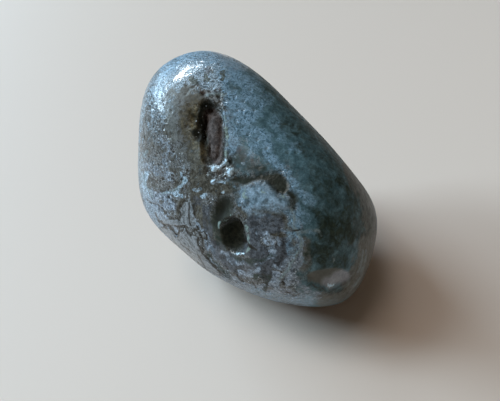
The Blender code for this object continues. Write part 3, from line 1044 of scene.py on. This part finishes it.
@dataclass(frozen=True)
class FineRelief:
    """The tumbled surface: a soft grain and scattered pinholes, most where the stone is pitted."""

    grain_size: float = 0.8
    grain_height: float = 0.15
    grain_detail: float = 2.0
    grain_anywhere: float = 0.1  # added to how pitted a place is, so that all of it has some grain
    pinhole_density: float = 0.55  # to a square millimetre
    pinhole_radius: float = 0.26
    pinhole_depth: float = 0.1
    pinhole_floor: float = 0.3  # the share of its radius that is flat
    seed: int = 7

    def tree(self, material: bpy.types.Material) -> bpy.types.NodeTree:
        """Builds the tree, with its sizes as named inputs.

        Args:
            material: What the finished surface is made of.

        Returns:
            The new node tree.
        """
        tree = bpy.data.node_groups.new("tumbled_relief", "GeometryNodeTree")
        face = tree.interface
        face.new_socket("Geometry", in_out="INPUT", socket_type="NodeSocketGeometry")
        for name in ("Grain size", "Grain height", "Pinhole density", "Pinhole radius", "Pinhole depth"):
            face.new_socket(name, in_out="INPUT", socket_type="NodeSocketFloat")
        face.new_socket("Seed", in_out="INPUT", socket_type="NodeSocketInt")
        face.new_socket("Geometry", in_out="OUTPUT", socket_type="NodeSocketGeometry")
        graph = Graph(tree)
        given = graph.node("NodeGroupInput").outputs
        pitted = self.named(graph, "pitted")
        grain = graph.node("ShaderNodeTexNoise", {
            "Vector": graph.node("GeometryNodeInputPosition").outputs[0],
            "Scale": graph.math("DIVIDE", 1.0, given["Grain size"]),
            "Detail": self.grain_detail,
        }, noise_dimensions="3D")
        swell = graph.math("SUBTRACT", grain.outputs["Fac"], 0.5)
        swell = graph.math("MULTIPLY", swell, given["Grain height"])
        swell = graph.math("MULTIPLY", swell, graph.math("ADD", pitted, self.grain_anywhere))
        hole = self.pinholes(graph, given, pitted)
        rise = graph.math("SUBTRACT", swell, graph.math("MULTIPLY", hole, given["Pinhole depth"]))
        rise = graph.math("MULTIPLY", rise, self.named(graph, "above_ground"))
        normal = graph.node("GeometryNodeInputNormal").outputs[0]
        offset = graph.vector("SCALE", {0: normal, "Scale": rise})
        moved = {"Geometry": given["Geometry"], "Offset": offset}
        shape = graph.node("GeometryNodeSetPosition", moved).outputs[0]
        shape = graph.node("GeometryNodeRealizeInstances", {"Geometry": shape}).outputs[0]
        shape = graph.node("GeometryNodeSetMaterial", {"Geometry": shape, "Material": material}).outputs[0]
        graph.node("NodeGroupOutput", {"Geometry": shape})
        return tree

    def named(self, graph: Graph, name: str) -> Socket:
        """Reads one of the mesh's attributes."""
        made = graph.node("GeometryNodeInputNamedAttribute", {"Name": name}, data_type="FLOAT")
        return made.outputs["Attribute"]

    def pinholes(self, graph: Graph, given: bpy.types.NodeOutputs, pitted: Socket) -> Socket:
        """How deep in a pinhole each point is, from nought to one."""
        scatter = graph.node("GeometryNodeDistributePointsOnFaces", {
            "Mesh": given["Geometry"],
            "Density": graph.math("MULTIPLY", pitted, given["Pinhole density"]),
            "Seed": given["Seed"],
        }, distribute_method="RANDOM")
        near = graph.node("GeometryNodeProximity", {0: scatter.outputs["Points"]}, target_element="POINTS")
        share = graph.math("DIVIDE", near.outputs["Distance"], given["Pinhole radius"])
        return graph.ramp(share, 1.0, self.pinhole_floor)

    def bake(self, piece: bpy.types.Object, material: bpy.types.Material) -> None:
        """Runs the tree on a piece and keeps its result as the piece's mesh."""
        sizes = {
            "Grain size": self.grain_size * METRES,
            "Grain height": self.grain_height * METRES,
            "Pinhole density": self.pinhole_density / METRES**2,
            "Pinhole radius": self.pinhole_radius * METRES,
            "Pinhole depth": self.pinhole_depth * METRES,
            "Seed": self.seed,
        }
        modifier = piece.modifiers.new("tumbled_relief", "NODES")
        modifier.node_group = self.tree(material)
        for item in modifier.node_group.interface.items_tree:
            if item.in_out == "INPUT" and item.name in sizes:
                modifier[item.identifier] = sizes[item.name]
        graph = bpy.context.evaluated_depsgraph_get()
        result = bpy.data.meshes.new_from_object(
            piece.evaluated_get(graph), preserve_all_data_layers=True, depsgraph=graph
        )
        plain = piece.data
        piece.modifiers.remove(modifier)
        piece.data = result
        result.name = piece.name
        bpy.data.meshes.remove(plain)


# ---- the material ----


class Pattern(Enum):
    """How a second colour lies over a first: in clouds, or as a curling net of lines."""

    CLOUD = "cloud"
    NET = "net"


@dataclass(frozen=True)
class Mottle:
    """A colour with blotches of another, at one size."""

    base: Colour
    blotch: Colour
    size: float
    start: float = 0.38
    end: float = 0.68
    pattern: Pattern = Pattern.CLOUD
    rough: float = 0.62


@dataclass(frozen=True)
class Pits:
    """Small round pits, scattered over cells.

    The size is how far apart the cells are, the radius is a share of that, and the share is how
    many of the cells have a pit. Pits that are only colour have no depth: these are painted glints.
    """

    size: float
    radius: float
    share: float
    depth: float = 0.0


@dataclass(frozen=True)
class TumbledStone:
    """The stone's finish: its zones' colours under one polished skin."""

    olive: Mottle = Mottle((0.05, 0.046, 0.037), (0.205, 0.225, 0.238), 0.5, 0.0, 0.1, Pattern.NET)
    teal: Mottle = Mottle((0.04, 0.094, 0.115), (0.125, 0.228, 0.275), 0.8, 0.3, 0.7, rough=0.68)
    # smooth grey, and a painted reflection of the floor along the right rim
    haze_and_sheen: Mottle = Mottle((0.1, 0.105, 0.095), (0.19, 0.205, 0.2), 0.6, rough=0.7)
    umber: Mottle = Mottle((0.04, 0.036, 0.026), (0.14, 0.138, 0.118), 0.45, rough=0.7)
    mauve: Mottle = Mottle((0.034, 0.037, 0.041), (0.13, 0.147, 0.17), 0.6, 0.38, 0.66, rough=0.68)
    slate: Mottle = Mottle((0.11, 0.145, 0.18), (0.37, 0.45, 0.55), 0.5, 0.38, 0.64, rough=0.7)
    # painted reflection: the sky's blue sheen and glints
    sky_sheen: Mottle = Mottle((0.085, 0.14, 0.185), (0.54, 0.7, 0.84), 0.42, 0.0, 0.11, Pattern.NET)
    # pale teal, partly a painted sky sheen
    frost_and_sheen: Mottle = Mottle((0.068, 0.15, 0.21), (0.3, 0.49, 0.67), 0.55, 0.0, 0.16, Pattern.NET, 0.6)
    moss: Mottle = Mottle((0.07, 0.09, 0.085), (0.14, 0.175, 0.17), 0.5)
    # dark places, partly painted shade on the flank and under the chip
    dark_and_shade: Mottle = Mottle((0.013, 0.024, 0.016), (0.034, 0.053, 0.038), 0.7)
    blush: Mottle = Mottle((0.27, 0.29, 0.325), (0.39, 0.41, 0.46), 0.8)
    island: Mottle = Mottle((0.1, 0.115, 0.12), (0.29, 0.32, 0.35), 0.5, 0.42, 0.56, rough=0.7)
    pale: Mottle = Mottle((0.095, 0.155, 0.195), (0.33, 0.48, 0.62), 0.8, 0.36, 0.66, rough=0.6)
    arch: Mottle = Mottle((0.016, 0.021, 0.015), (0.036, 0.044, 0.035), 0.5)
    ochre: Mottle = Mottle((0.075, 0.062, 0.03), (0.25, 0.216, 0.126), 0.6, rough=0.7)
    maroon: Mottle = Mottle((0.028, 0.017, 0.013), (0.122, 0.097, 0.09), 0.55, 0.4, 0.62, rough=0.7)
    # painted shade: the hollows' near-black colour
    shaded_hollow: Mottle = Mottle((0.016, 0.02, 0.014), (0.046, 0.05, 0.036), 0.5, rough=0.7)
    chip: Mottle = Mottle((0.115, 0.12, 0.105), (0.145, 0.15, 0.135), 0.8)
    # light veins, and a painted highlight line on the left
    vein_and_highlight: Colour = (0.24, 0.32, 0.35)
    # pale rims, partly a painted highlight on lit lips, and painted glints
    rim_and_glint: Colour = (0.26, 0.36, 0.35)
    # painted shade: near black where the slot and the shallow hollow lie in shade
    painted_shade: Colour = (0.013, 0.015, 0.01)
    # dark cracks, and the painted shadow along the chip's lower edge
    crack_and_shadow: Colour = (0.035, 0.032, 0.026)
    # painted glints: pale blue specks standing in for sparkle off the polish
    painted_glint: Colour = (0.6, 0.7, 0.8)
    # painted glint: the blue-white of the knobs and small glints
    crystal_glint: Colour = (0.62, 0.84, 1.0)
    painted_glints: Pits = Pits(0.3, 0.36, 0.24)
    painted_glints_start: float = 0.5  # how pitted the stone is where the painted glints begin
    painted_glints_whole: float = 0.95
    grit: float = 3.36  # how far fine grains darken or lighten the colour where it is pitted
    grit_anywhere: float = 0.05
    grit_darkest: float = 0.25
    zone_first: int = 1  # each zone and each tint is read further on in the noise, by strides
    zone_stride: float = 0.013
    tint_first: int = 3
    tint_stride: float = 0.011
    tint_gap: float = 0.005  # from a tint's blotches to its colours
    tint_gain: float = 0.6  # how soon a tint's blotches close up
    tint_edge: float = 0.8  # what density and noise add up to at a blotch's edge
    crack_width: float = 0.2  # half the width of the crack along an edge
    crack_floor: float = 0.3  # the share of that where it is darkest
    crack_stray: float = 0.25
    crack_gaps: tuple[float, float] = (0.48, 0.62)  # the noise at which it thins out, and ends
    pit_floor: float = 0.4  # the share of a pit's radius that is flat
    pits: tuple[Pits, ...] = (Pits(0.36, 0.28, 0.3, 0.03), Pits(0.8, 0.18, 0.2, 0.05))
    fold_size: float = 1.1  # the heights of the finest relief are in millimetres
    fold_width: float = 0.14
    fold_height: float = 0.018
    grain_size: float = 0.25
    grain_height: float = 0.008
    facet_size: float = 0.4
    facet_height: float = 0.2
    crack_depth: float = 0.03
    roughness: float = 0.38
    roughness_swing: float = 0.12
    dull_roughness: float = 0.3  # more, where it is dull or dark
    specular: float = 0.2
    coat_roughness: float = 0.08

    def material(self) -> bpy.types.Material:
        """Builds the material from this finish."""
        made = bpy.data.materials.new("tumbled_stone")
        made.use_nodes = True
        made.node_tree.nodes.clear()
        return StoneGraph(made.node_tree, self).finish(made)


LIFT_WAY = (1.0, 0.7, 1.3)  # which way through the noise a lift goes


class StoneGraph(Graph):
    """The stone's material, laid zone over zone."""

    def __init__(self, tree: bpy.types.NodeTree, finish: TumbledStone) -> None:
        """Takes the tree and the finish that it shows."""
        super().__init__(tree)
        self.look = finish
        self.place = self.node("ShaderNodeTexCoord").outputs["Object"]

    def grain(
        self, size: float, detail: float = 3.0, twist: float = 0.0, lift: float = 0.0, rough: float = 0.5
    ) -> Socket:
        """Noise from nought to one.

        Args:
            size: How far apart its swells are, in millimetres.
            detail: How many finer sizes are added to it.
            twist: How much it curls.
            lift: How far on in the noise it is read.
            rough: How strong the finer sizes are.

        Returns:
            The noise.
        """
        shift = tuple(lift * share for share in LIFT_WAY)
        return self.node("ShaderNodeTexNoise", {
            "Vector": self.vector("ADD", {0: self.place, 1: shift}),
            "Scale": 1 / (size * METRES),
            "Detail": detail,
            "Roughness": rough,
            "Distortion": twist,
        }, noise_dimensions="3D").outputs["Fac"]

    def swing(self, size: float, **settings: float) -> Socket:
        """The same noise, about nought."""
        return self.math("SUBTRACT", self.grain(size, **settings), 0.5)

    def opposite(self, share: Socket) -> Socket:
        """What is left of one."""
        return self.math("SUBTRACT", 1.0, share)

    def cells(self, size: float) -> bpy.types.Node:
        """Scattered cells, a size in millimetres apart."""
        inputs = {"Vector": self.place, "Scale": 1 / (size * METRES)}
        return self.node("ShaderNodeTexVoronoi", inputs, feature="F1")

    def stored(self, name: str) -> Socket:
        """One of the numbers that the mesh carries."""
        return self.node("ShaderNodeAttribute", attribute_name=name).outputs["Fac"]

    def depth(self, zone: Zone, ragged: float = 0.0, size: float = 0.6) -> Socket:
        """How far inside a zone the surface is, in millimetres, its edge carried in and out by noise."""
        depth = self.stored(zone.value)
        if ragged:
            swing = self.swing(size, detail=4.0, lift=0.01)
            depth = self.math("MULTIPLY_ADD", swing, ragged * 2, depth)
        return depth

    def cover(self, zone: Zone, soft: float, ragged: float = 0.0, size: float = 0.6) -> Socket:
        """How much a zone covers the surface.

        Args:
            zone: The zone.
            soft: Half the width of its edge.
            ragged: How far noise carries the edge in and out.
            size: How far apart that noise's swells are.

        Returns:
            The cover, from nought to one.
        """
        return self.ramp(self.depth(zone, ragged, size), -soft, soft)

    def mix(self, cover: object, under: object, over: object) -> Socket:
        """One colour laid over another."""
        inputs = {"Factor": cover, 6: self.opaque(under), 7: self.opaque(over)}
        return self.node("ShaderNodeMix", inputs, data_type="RGBA").outputs[2]

    def opaque(self, colour: object) -> object:
        """Adds an alpha to a plain colour."""
        return (*colour, 1.0) if isinstance(colour, tuple) else colour

    def blotched(self, mottle: Mottle, lift: float) -> Socket:
        """A mottle's colour over the surface."""
        if mottle.pattern is Pattern.NET:
            swing = self.swing(mottle.size, detail=3.0, twist=1.2, lift=lift, rough=mottle.rough)
            cover = self.ramp(self.math("ABSOLUTE", swing), mottle.end, mottle.start)
        else:
            grain = self.grain(mottle.size, detail=6.0, twist=0.35, lift=lift, rough=mottle.rough)
            cover = self.ramp(grain, mottle.start, mottle.end)
        return self.mix(cover, mottle.base, mottle.blotch)

    def layer(
        self, under: object, zone: Zone, mottle: Mottle, soft: float, ragged: float, most: float = 1.0
    ) -> Socket:
        """Lays one zone's mottle over what is under it.

        Args:
            under: The colour under it.
            zone: The zone.
            mottle: The zone's own two colours.
            soft: Half the width of its edge.
            ragged: How far noise carries the edge in and out.
            most: How much it covers at the most.

        Returns:
            The colour with the zone on it.
        """
        cover = self.cover(zone, soft, ragged)
        if most < 1:
            cover = self.math("MULTIPLY", cover, most)
        lift = self.look.zone_stride * (self.look.zone_first + list(Zone).index(zone))
        return self.mix(cover, under, self.blotched(mottle, lift))

    def cloud(self, under: object, tint: Tint, mottle: Mottle, size: float, soft: float) -> Socket:
        """Lays one tint over what is under it, in blotches that close up where it is dense.

        Args:
            under: The colour under it.
            tint: The tint.
            mottle: The tint's own two colours.
            size: How far apart its blotches are.
            soft: How soft their edges are.

        Returns:
            The colour with the tint on it.
        """
        look = self.look
        lift = look.tint_stride * (look.tint_first + list(Tint).index(tint))
        blotches = self.grain(size, detail=6.0, twist=0.6, lift=lift, rough=0.66)
        spread = self.math("MULTIPLY_ADD", self.stored(tint.value), look.tint_gain, blotches)
        cover = self.ramp(spread, look.tint_edge - soft, look.tint_edge + soft)
        return self.mix(cover, under, self.blotched(mottle, lift + look.tint_gap))

    def colour(self) -> Socket:
        """The stone's colour, from the widest zones to the smallest marks, painted shade, highlights and
        sheen among them.
        """
        look = self.look
        stone = self.blotched(look.olive, lift=0.0)
        stone = self.layer(stone, Zone.TEAL, look.teal, 1.4, 2.2)
        # smooth grey, and a painted reflection along the right rim
        stone = self.cloud(stone, Tint.HAZE_AND_SHEEN, look.haze_and_sheen, 1.0, 0.2)
        stone = self.cloud(stone, Tint.UMBER, look.umber, 0.5, 0.18)
        stone = self.cloud(stone, Tint.MAUVE, look.mauve, 0.7, 0.16)
        stone = self.cloud(stone, Tint.SLATE, look.slate, 0.6, 0.11)
        # painted sky sheen over the top and the left edge
        stone = self.cloud(stone, Tint.MIST, look.sky_sheen, 0.45, 0.16)
        # pale teal, partly a painted sky sheen
        stone = self.cloud(stone, Tint.FROST_AND_SHEEN, look.frost_and_sheen, 0.5, 0.25)
        stone = self.cloud(stone, Tint.MOSS, look.moss, 0.6, 0.06)
        # dark places, partly painted shade on the flank and under the chip
        stone = self.cloud(stone, Tint.DARK_AND_SHADE, look.dark_and_shade, 0.9, 0.25)
        stone = self.layer(stone, Zone.ISLAND, look.island, 0.07, 0.2, 0.85)
        stone = self.layer(stone, Zone.PALE, look.pale, 1.0, 1.2)
        stone = self.layer(stone, Zone.ARCH, look.arch, 0.35, 0.6)
        # light veins, and a painted highlight line
        stone = self.mix(self.cover(Zone.VEIN_AND_HIGHLIGHT, 0.16, 0.3), stone, look.vein_and_highlight)
        stone = self.layer(stone, Zone.OCHRE, look.ochre, 1.2, 1.5)
        # painted shade in the hollows
        stone = self.layer(stone, Zone.SHADED_HOLLOW, look.shaded_hollow, 0.55, 0.5)
        stone = self.layer(stone, Zone.MAROON, look.maroon, 0.16, 0.4)
        # painted shade in the slot and the shallow hollow
        stone = self.mix(self.cover(Zone.PAINTED_SHADE, 0.4, 0.5), stone, look.painted_shade)
        # painted highlight on the lit rims, and painted glints
        stone = self.mix(self.cover(Zone.RIM_AND_GLINT, 0.1, 0.4), stone, look.rim_and_glint)
        stone = self.mix(self.outline(Zone.ISLAND), stone, look.crack_and_shadow)
        # dark cracks, and a painted shadow along the chip's lower edge
        stone = self.mix(self.cover(Zone.LINE, 0.1, 0.2), stone, look.crack_and_shadow)
        stone = self.mix(self.cover(Zone.CHIP, 0.2, 0.15), stone, self.chipped())
        # painted glints among the fine grains
        stone = self.gritty(stone)
        # painted glint on the knobs
        stone = self.mix(self.cover(Zone.KNOB_GLINT, 0.12, 0.4, 0.35), stone, look.crystal_glint)
        return stone

    def chipped(self) -> Socket:
        """The chip's colour, from brown at one end to pale mauve at the other."""
        brown = self.blotched(self.look.chip, lift=0.31)
        pale = self.blotched(self.look.blush, lift=0.33)
        return self.mix(self.stored(Tint.BLUSH.value), brown, pale)

    def gritty(self, under: Socket) -> Socket:
        """Darkens and lightens a colour in fine grains, and adds painted glints as pale blue flecks, where
        it is pitted.
        """
        look, pitted = self.look, self.stored("pitted")
        fine = self.swing(0.2, detail=3.0, twist=0.4, lift=0.07, rough=0.6)
        strength = self.math("MULTIPLY", self.math("ADD", pitted, look.grit_anywhere), look.grit)
        value = self.math("MULTIPLY_ADD", fine, strength, 1.0)
        grains = self.vector("SCALE", {0: under, "Scale": self.math("MAXIMUM", value, look.grit_darkest)})
        spread = self.ramp(pitted, look.painted_glints_start, look.painted_glints_whole)
        return self.mix(self.math("MULTIPLY", self.pits(look.painted_glints), spread), grains, look.painted_glint)

    def outline(self, zone: Zone) -> Socket:
        """The thin crack along a zone's edge, with gaps."""
        width = self.look.crack_width
        spread = self.ramp(self.grain(1.2, detail=2.0, lift=0.03), *self.look.crack_gaps)
        gap = self.math("MULTIPLY", spread, width)
        away = self.math("ABSOLUTE", self.depth(zone, self.look.crack_stray))
        return self.ramp(self.math("ADD", away, gap), width, width * self.look.crack_floor)

    def dull(self) -> Socket:
        """How unpolished the surface is: in the slot, the hollows and the chip."""
        spread = self.cover(Zone.OCHRE, soft=0.8)
        for zone in (Zone.MAROON, Zone.PAINTED_SHADE, Zone.SHADED_HOLLOW, Zone.CHIP):
            spread = self.math("MAXIMUM", spread, self.cover(zone, soft=0.25))
        return self.math("MULTIPLY", spread, self.opposite(self.cover(Zone.KNOB_GLINT, soft=0.2)))

    def pits(self, pits: Pits) -> Socket:
        """How deep in a pit the surface is, from nought to one."""
        cells = self.cells(pits.size)
        sunk = self.ramp(cells.outputs["Distance"], pits.radius, pits.radius * self.look.pit_floor)
        return self.math("MULTIPLY", sunk, self.math("LESS_THAN", cells.outputs["Color"], pits.share))

    def relief(self) -> Socket:
        """The height of the finest relief, in metres."""
        look = self.look
        curl = self.math("ABSOLUTE", self.swing(look.fold_size, detail=2.0, twist=1.2))
        height = self.math("MULTIPLY", self.ramp(curl, 0.0, look.fold_width), look.fold_height * METRES)
        grain = self.grain(look.grain_size, detail=2.0, twist=0.5, lift=0.02)
        height = self.math("MULTIPLY_ADD", grain, look.grain_height * METRES, height)
        for pits in look.pits:
            height = self.math("MULTIPLY_ADD", self.pits(pits), -pits.depth * METRES, height)
        height = self.math("MULTIPLY", height, self.stored("pitted"))
        facets = self.cells(look.facet_size).outputs["Distance"]
        rugged = self.math("MULTIPLY", facets, self.cover(Zone.KNOB_GLINT, soft=0.2))
        height = self.math("MULTIPLY_ADD", rugged, look.facet_height * METRES, height)
        return self.math("MULTIPLY_ADD", self.outline(Zone.ISLAND), -look.crack_depth * METRES, height)

    def finish(self, made: bpy.types.Material) -> bpy.types.Material:
        """Joins colour, gloss and relief in the shader."""
        look = self.look
        smoothest = look.roughness - look.roughness_swing / 2
        grain = self.grain(0.5, detail=2.0, lift=0.05)
        dull = self.dull()
        rough = self.math("MULTIPLY_ADD", grain, look.roughness_swing, smoothest)
        rough = self.math("MULTIPLY_ADD", self.stored(Tint.DARK_AND_SHADE.value), look.dull_roughness, rough)
        relief = self.node("ShaderNodeBump", {"Strength": 1.0, "Distance": 1.0, "Height": self.relief()})
        shader = self.node("ShaderNodeBsdfPrincipled", {
            "Base Color": self.colour(),
            "Roughness": self.math("MULTIPLY_ADD", dull, look.dull_roughness, rough),
            "Specular IOR Level": look.specular,
            "Coat Weight": self.math("MULTIPLY", self.stored(Tint.GLOSS.value), self.opposite(dull)),
            "Coat Roughness": look.coat_roughness,
            "Normal": relief.outputs["Normal"],
            "Coat Normal": relief.outputs["Normal"],
        })
        self.node("ShaderNodeOutputMaterial", {"Surface": shader.outputs["BSDF"]})
        return made


# ---- the studio ----


@dataclass(frozen=True)
class Softbox:
    """A rectangular lamp that shines at the stone."""

    name: str
    bearing: float
    slope: float
    distance: float
    width: float
    height: float
    power: float
    colour: Colour
    sheen_only: bool = False  # seen in the polish, but too small to light the room

    def build(self, target: Vector) -> None:
        """Hangs the lamp."""
        lamp = bpy.data.lights.new(self.name, "AREA")
        lamp.shape = "RECTANGLE"
        lamp.size, lamp.size_y = self.width, self.height
        lamp.energy = self.power
        lamp.color = self.colour
        hung = added(self.name, lamp)
        way = Vector(heading_vector(self.bearing, self.slope))
        hung.location = target + way * self.distance
        hung.rotation_euler = way.to_track_quat("Z", "Y").to_euler()
        hung.visible_diffuse = not self.sheen_only


@dataclass(frozen=True)
class Studio:
    """The pale floor, the soft light and the camera."""

    floor_size: float = 3.0
    floor_colour: Colour = (0.75, 0.62, 0.535)
    floor_roughness: float = 0.65
    air: Colour = (1.0, 0.8, 0.6)
    air_strength: float = 0.1
    near_clip: float = 0.001  # a millimetre before the lens
    lamps: tuple[Softbox, ...] = (
        Softbox("window", 163, 31, 2.0, 0.6, 0.4, 22.0, (0.62, 0.84, 1.0)),
        Softbox("bay", 133, 31, 2.0, 1.3, 0.4, 23.0, (0.56, 0.8, 1.0)),
        Softbox("skylight", 168, 56, 2.0, 0.5, 0.6, 11.0, (0.7, 0.88, 1.0)),
        Softbox("ceiling", 208, 74, 2.0, 0.9, 0.9, 7.5, (1.0, 0.95, 0.88)),
        Softbox("pane", 121, 60, 2.0, 1.55, 0.14, 24.0, (0.8, 0.92, 1.0), sheen_only=True),
        Softbox("transom", 152, 47, 2.0, 0.2, 0.22, 1.2, (0.8, 0.92, 1.0), sheen_only=True),
    )

    def build(self, heart: Array) -> None:
        """Sets up the studio around the stone.

        Args:
            heart: Where the stone's heart is, in millimetres.
        """
        target = Vector(heart * METRES)
        self.lay_floor()
        for lamp in self.lamps:
            lamp.build(target)
        self.fill_air()
        self.place_camera(heart)
        bpy.context.scene.view_settings.view_transform = "Standard"

    def lay_floor(self) -> None:
        """Lays the floor that the stone rests on."""
        shape = bmesh.new()
        bmesh.ops.create_grid(shape, x_segments=1, y_segments=1, size=self.floor_size / 2)
        floor = added("floor", mesh_of(shape, "floor"))
        matte = bpy.data.materials.new("pale_floor")
        matte.use_nodes = True
        shader = matte.node_tree.nodes["Principled BSDF"]
        shader.inputs["Base Color"].default_value = (*self.floor_colour, 1)
        shader.inputs["Roughness"].default_value = self.floor_roughness
        floor.data.materials.append(matte)

    def fill_air(self) -> None:
        """Fills the room with faint even light."""
        world = bpy.data.worlds.new("room")
        world.use_nodes = True
        air = world.node_tree.nodes["Background"]
        air.inputs["Color"].default_value = (*self.air, 1)
        air.inputs["Strength"].default_value = self.air_strength
        bpy.context.scene.world = world

    def place_camera(self, heart: Array) -> None:
        """Places the camera at the front view."""
        lens = bpy.data.cameras.new("front_view")
        lens.sensor_fit = "HORIZONTAL"
        lens.sensor_width = VIEW.sensor
        lens.lens = VIEW.focal / VIEW.width * VIEW.sensor
        lens.clip_start = self.near_clip
        camera = added("front_view", lens)
        right, up, forward = VIEW.axes()
        turn = Matrix((right, up, -forward)).transposed().to_4x4()
        camera.matrix_world = Matrix.Translation((heart + VIEW.eye()) * METRES) @ turn
        bpy.context.scene.camera = camera


# ---- putting it together ----


def main() -> None:
    """Builds the stone and the studio, and reports each piece."""
    logging.basicConfig(level=logging.INFO, format="%(name)s: %(message)s")
    maker = StoneMesh()
    stone = maker.build("pebble_skin")
    FineRelief().bake(stone, TumbledStone().material())
    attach(stone, "root")
    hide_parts("pebble")
    LOG.info("%s: %d triangles", stone.name, len(stone.data.polygons))
    Studio().build(maker.heart())
    LOG.info("studio: floor, softboxes and camera")


if __name__ == "__main__":
    main()
